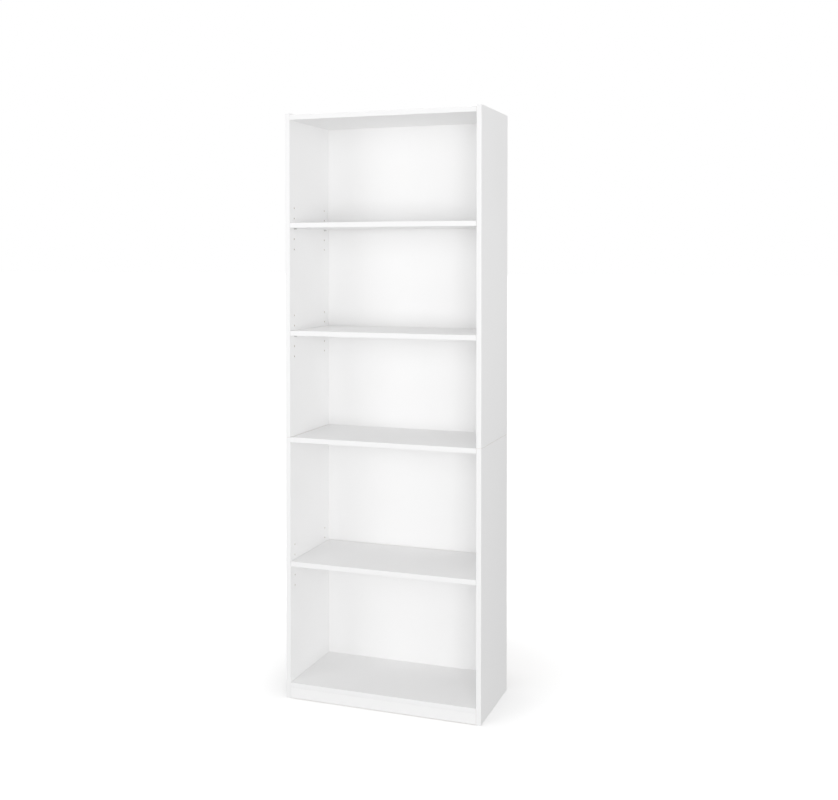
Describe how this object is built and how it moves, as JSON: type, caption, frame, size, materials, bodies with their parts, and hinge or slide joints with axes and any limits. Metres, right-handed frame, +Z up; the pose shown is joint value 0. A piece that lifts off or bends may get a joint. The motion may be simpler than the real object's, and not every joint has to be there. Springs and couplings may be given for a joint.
{
  "type": "bookcase",
  "caption": "Tall narrow flat-pack bookcase in white laminate: open front, adjustable and fixed shelves, split sides, kick plate and thin back.",
  "frame": {"origin": "on the floor at the middle of the bookcase's footprint", "axes": "+X to the right seen from the front, +Y to the back (the open front faces -Y), +Z up"},
  "size_m": [0.63, 0.292, 1.813],
  "materials": {
    "white_laminate": "white melamine laminate on particle board, satin",
    "painted_hardboard": "thin hardboard, white in front and raw brown behind",
    "zinc": "die-cast zinc, satin",
    "steel": "plated steel, satin",
    "beech": "raw beech"
  },
  "bodies": {
    "case": {"left_side_lower": "white_laminate", "left_side_upper": "white_laminate", "right_side_lower": "white_laminate", "right_side_upper": "white_laminate", "top_panel": "white_laminate", "middle_shelf": "white_laminate", "bottom_shelf": "white_laminate", "kick_plate": "white_laminate", "back_panel_lower": "painted_hardboard", "back_panel_upper": "painted_hardboard", "dowel_seam_left_front": "beech", "dowel_seam_left_rear": "beech", "dowel_seam_right_front": "beech", "dowel_seam_right_rear": "beech", "dowel_kick_left": "beech", "dowel_kick_right": "beech", "cam_bolt_top_left_front": "steel", "cam_bolt_top_left_rear": "steel", "cam_bolt_top_right_front": "steel", "cam_bolt_top_right_rear": "steel", "cam_bolt_middle_left_front": "steel", "cam_bolt_middle_left_rear": "steel", "cam_bolt_middle_right_front": "steel", "cam_bolt_middle_right_rear": "steel", "cam_bolt_bottom_left_front": "steel", "cam_bolt_bottom_left_rear": "steel", "cam_bolt_bottom_right_front": "steel", "cam_bolt_bottom_right_rear": "steel", "cam_bolt_seam_left": "steel", "cam_bolt_seam_right": "steel"},
    "shelf_high": {"adjustable_shelf_high": "white_laminate"},
    "shelf_upper": {"adjustable_shelf_upper": "white_laminate"},
    "shelf_low": {"adjustable_shelf_low": "white_laminate"},
    "pin_high_left_front": {"shelf_pin_high_left_front": "steel"},
    "pin_high_left_rear": {"shelf_pin_high_left_rear": "steel"},
    "pin_high_right_front": {"shelf_pin_high_right_front": "steel"},
    "pin_high_right_rear": {"shelf_pin_high_right_rear": "steel"},
    "pin_upper_left_front": {"shelf_pin_upper_left_front": "steel"},
    "pin_upper_left_rear": {"shelf_pin_upper_left_rear": "steel"},
    "pin_upper_right_front": {"shelf_pin_upper_right_front": "steel"},
    "pin_upper_right_rear": {"shelf_pin_upper_right_rear": "steel"},
    "pin_low_left_front": {"shelf_pin_low_left_front": "steel"},
    "pin_low_left_rear": {"shelf_pin_low_left_rear": "steel"},
    "pin_low_right_front": {"shelf_pin_low_right_front": "steel"},
    "pin_low_right_rear": {"shelf_pin_low_right_rear": "steel"},
    "cam_top_left_front": {"cam_lock_top_left_front": "zinc"},
    "cam_top_left_rear": {"cam_lock_top_left_rear": "zinc"},
    "cam_top_right_front": {"cam_lock_top_right_front": "zinc"},
    "cam_top_right_rear": {"cam_lock_top_right_rear": "zinc"},
    "cam_middle_left_front": {"cam_lock_middle_left_front": "zinc"},
    "cam_middle_left_rear": {"cam_lock_middle_left_rear": "zinc"},
    "cam_middle_right_front": {"cam_lock_middle_right_front": "zinc"},
    "cam_middle_right_rear": {"cam_lock_middle_right_rear": "zinc"},
    "cam_bottom_left_front": {"cam_lock_bottom_left_front": "zinc"},
    "cam_bottom_left_rear": {"cam_lock_bottom_left_rear": "zinc"},
    "cam_bottom_right_front": {"cam_lock_bottom_right_front": "zinc"},
    "cam_bottom_right_rear": {"cam_lock_bottom_right_rear": "zinc"},
    "cam_seam_left": {"cam_lock_seam_left": "zinc"},
    "cam_seam_right": {"cam_lock_seam_right": "zinc"}
  },
  "joints": [
    {"name": "shelf_slide_high", "type": "slide", "parent": "case", "child": "shelf_high", "axis": [0, -1, 0], "range_m": [0, 0.3]},
    {"name": "shelf_slide_upper", "type": "slide", "parent": "case", "child": "shelf_upper", "axis": [0, -1, 0], "range_m": [0, 0.3]},
    {"name": "shelf_slide_low", "type": "slide", "parent": "case", "child": "shelf_low", "axis": [0, -1, 0], "range_m": [0, 0.3]},
    {"name": "pin_pull_high_left_front", "type": "slide", "parent": "case", "child": "pin_high_left_front", "axis": [1, 0, 0], "range_m": [0, 0.009]},
    {"name": "pin_pull_high_left_rear", "type": "slide", "parent": "case", "child": "pin_high_left_rear", "axis": [1, 0, 0], "range_m": [0, 0.009]},
    {"name": "pin_pull_high_right_front", "type": "slide", "parent": "case", "child": "pin_high_right_front", "axis": [-1, 0, 0], "range_m": [0, 0.009]},
    {"name": "pin_pull_high_right_rear", "type": "slide", "parent": "case", "child": "pin_high_right_rear", "axis": [-1, 0, 0], "range_m": [0, 0.009]},
    {"name": "pin_pull_upper_left_front", "type": "slide", "parent": "case", "child": "pin_upper_left_front", "axis": [1, 0, 0], "range_m": [0, 0.009]},
    {"name": "pin_pull_upper_left_rear", "type": "slide", "parent": "case", "child": "pin_upper_left_rear", "axis": [1, 0, 0], "range_m": [0, 0.009]},
    {"name": "pin_pull_upper_right_front", "type": "slide", "parent": "case", "child": "pin_upper_right_front", "axis": [-1, 0, 0], "range_m": [0, 0.009]},
    {"name": "pin_pull_upper_right_rear", "type": "slide", "parent": "case", "child": "pin_upper_right_rear", "axis": [-1, 0, 0], "range_m": [0, 0.009]},
    {"name": "pin_pull_low_left_front", "type": "slide", "parent": "case", "child": "pin_low_left_front", "axis": [1, 0, 0], "range_m": [0, 0.009]},
    {"name": "pin_pull_low_left_rear", "type": "slide", "parent": "case", "child": "pin_low_left_rear", "axis": [1, 0, 0], "range_m": [0, 0.009]},
    {"name": "pin_pull_low_right_front", "type": "slide", "parent": "case", "child": "pin_low_right_front", "axis": [-1, 0, 0], "range_m": [0, 0.009]},
    {"name": "pin_pull_low_right_rear", "type": "slide", "parent": "case", "child": "pin_low_right_rear", "axis": [-1, 0, 0], "range_m": [0, 0.009]},
    {"name": "cam_turn_top_left_front", "type": "hinge", "parent": "case", "child": "cam_top_left_front", "pos_m": [-0.2757, -0.096, 1.8075], "axis": [0, 0, 1], "range_deg": [0, 180]},
    {"name": "cam_turn_top_left_rear", "type": "hinge", "parent": "case", "child": "cam_top_left_rear", "pos_m": [-0.2757, 0.0927, 1.8075], "axis": [0, 0, 1], "range_deg": [0, 180]},
    {"name": "cam_turn_top_right_front", "type": "hinge", "parent": "case", "child": "cam_top_right_front", "pos_m": [0.2757, -0.096, 1.8075], "axis": [0, 0, 1], "range_deg": [0, 180]},
    {"name": "cam_turn_top_right_rear", "type": "hinge", "parent": "case", "child": "cam_top_right_rear", "pos_m": [0.2757, 0.0927, 1.8075], "axis": [0, 0, 1], "range_deg": [0, 180]},
    {"name": "cam_turn_middle_left_front", "type": "hinge", "parent": "case", "child": "cam_middle_left_front", "pos_m": [-0.2757, -0.096, 0.798], "axis": [0, 0, -1], "range_deg": [0, 180]},
    {"name": "cam_turn_middle_left_rear", "type": "hinge", "parent": "case", "child": "cam_middle_left_rear", "pos_m": [-0.2757, 0.0927, 0.798], "axis": [0, 0, -1], "range_deg": [0, 180]},
    {"name": "cam_turn_middle_right_front", "type": "hinge", "parent": "case", "child": "cam_middle_right_front", "pos_m": [0.2757, -0.096, 0.798], "axis": [0, 0, -1], "range_deg": [0, 180]},
    {"name": "cam_turn_middle_right_rear", "type": "hinge", "parent": "case", "child": "cam_middle_right_rear", "pos_m": [0.2757, 0.0927, 0.798], "axis": [0, 0, -1], "range_deg": [0, 180]},
    {"name": "cam_turn_bottom_left_front", "type": "hinge", "parent": "case", "child": "cam_bottom_left_front", "pos_m": [-0.2757, -0.096, 0.034], "axis": [0, 0, -1], "range_deg": [0, 180]},
    {"name": "cam_turn_bottom_left_rear", "type": "hinge", "parent": "case", "child": "cam_bottom_left_rear", "pos_m": [-0.2757, 0.0927, 0.034], "axis": [0, 0, -1], "range_deg": [0, 180]},
    {"name": "cam_turn_bottom_right_front", "type": "hinge", "parent": "case", "child": "cam_bottom_right_front", "pos_m": [0.2757, -0.096, 0.034], "axis": [0, 0, -1], "range_deg": [0, 180]},
    {"name": "cam_turn_bottom_right_rear", "type": "hinge", "parent": "case", "child": "cam_bottom_right_rear", "pos_m": [0.2757, 0.0927, 0.034], "axis": [0, 0, -1], "range_deg": [0, 180]},
    {"name": "cam_turn_seam_left", "type": "hinge", "parent": "case", "child": "cam_seam_left", "pos_m": [-0.3, -0.00165, 0.78885], "axis": [1, 0, 0], "range_deg": [0, 180]},
    {"name": "cam_turn_seam_right", "type": "hinge", "parent": "case", "child": "cam_seam_right", "pos_m": [0.3, -0.00165, 0.78885], "axis": [-1, 0, 0], "range_deg": [0, 180]}
  ]
}
